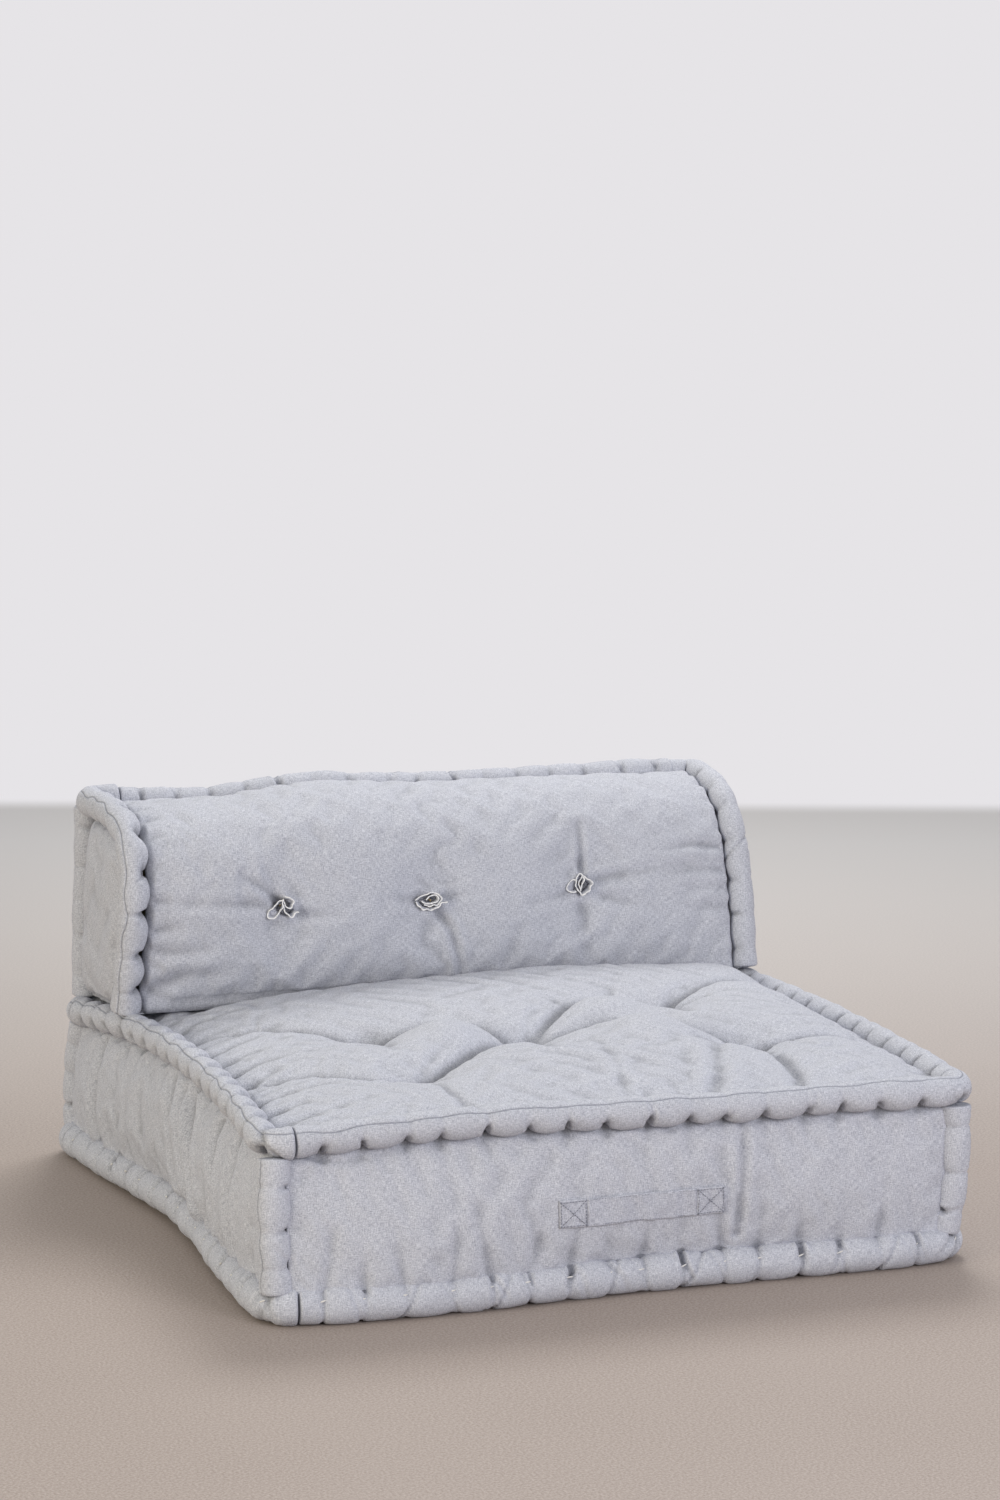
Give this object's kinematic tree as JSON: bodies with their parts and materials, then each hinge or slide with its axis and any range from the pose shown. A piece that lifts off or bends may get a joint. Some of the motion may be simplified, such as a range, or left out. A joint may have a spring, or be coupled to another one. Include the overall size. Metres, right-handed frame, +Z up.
{
  "type": "modular floor sofa",
  "caption": "Low square tufted mattress seat with stitched rolled edges and a loose matching back cushion standing along its rear edge.",
  "frame": {"origin": "on the floor, under the middle of the seat cushion's footprint", "axes": "+X to the sitter's left along the front edge, +Y to the rear where the back cushion stands, +Z up"},
  "size_m": [1, 1, 0.55],
  "materials": {
    "cover_canvas": "blue-grey melange cotton canvas, matt",
    "rolled_edge": "blue-grey melange cotton canvas over a firm stuffed roll, matt",
    "strap_webbing": "folded strip of the cover canvas, topstitched",
    "rosette_ribbon": "folded canvas ribbon with raw pale edges",
    "tuft_twine": "waxed cotton twine",
    "foam_core": "cut polyurethane foam",
    "wadding": "carded cotton wadding"
  },
  "bodies": {
    "seat": {"seat_core": "foam_core", "seat_top_wadding": "wadding", "seat_top_cover": "cover_canvas", "seat_bottom_cover": "cover_canvas", "seat_front_border": "cover_canvas", "seat_rear_border": "cover_canvas", "seat_left_border": "cover_canvas", "seat_right_border": "cover_canvas", "seat_top_front_roll": "rolled_edge", "seat_top_rear_roll": "rolled_edge", "seat_top_left_roll": "rolled_edge", "seat_top_right_roll": "rolled_edge", "seat_bottom_front_roll": "rolled_edge", "seat_bottom_rear_roll": "rolled_edge", "seat_bottom_left_roll": "rolled_edge", "seat_bottom_right_roll": "rolled_edge", "seat_front_left_roll": "rolled_edge", "seat_front_right_roll": "rolled_edge", "seat_rear_left_roll": "rolled_edge", "seat_rear_right_roll": "rolled_edge", "seat_tuft_twines": "tuft_twine", "seat_top_knots": "tuft_twine", "seat_bottom_knots": "tuft_twine", "strap_left_end": "strap_webbing", "strap_right_end": "strap_webbing"},
    "back": {"back_core": "foam_core", "back_front_wadding": "wadding", "back_front_cover": "cover_canvas", "back_rear_panel": "cover_canvas", "back_base_panel": "cover_canvas", "back_left_end_panel": "cover_canvas", "back_right_end_panel": "cover_canvas", "back_left_end_roll": "rolled_edge", "back_right_end_roll": "rolled_edge", "back_top_rear_roll": "rolled_edge", "back_rear_left_roll": "rolled_edge", "back_rear_right_roll": "rolled_edge", "back_tuft_twines": "tuft_twine", "back_front_rosettes": "rosette_ribbon", "back_rear_rosettes": "rosette_ribbon"},
    "strap": {"strap_grip": "strap_webbing"}
  },
  "joints": [
    {"name": "back_lift", "type": "slide", "parent": "seat", "child": "back", "axis": [0, 0, 1], "range_m": [0, 0.35]},
    {"name": "strap_pull", "type": "slide", "parent": "seat", "child": "strap", "axis": [0, -1, 0], "range_m": [0, 0.025]}
  ]
}
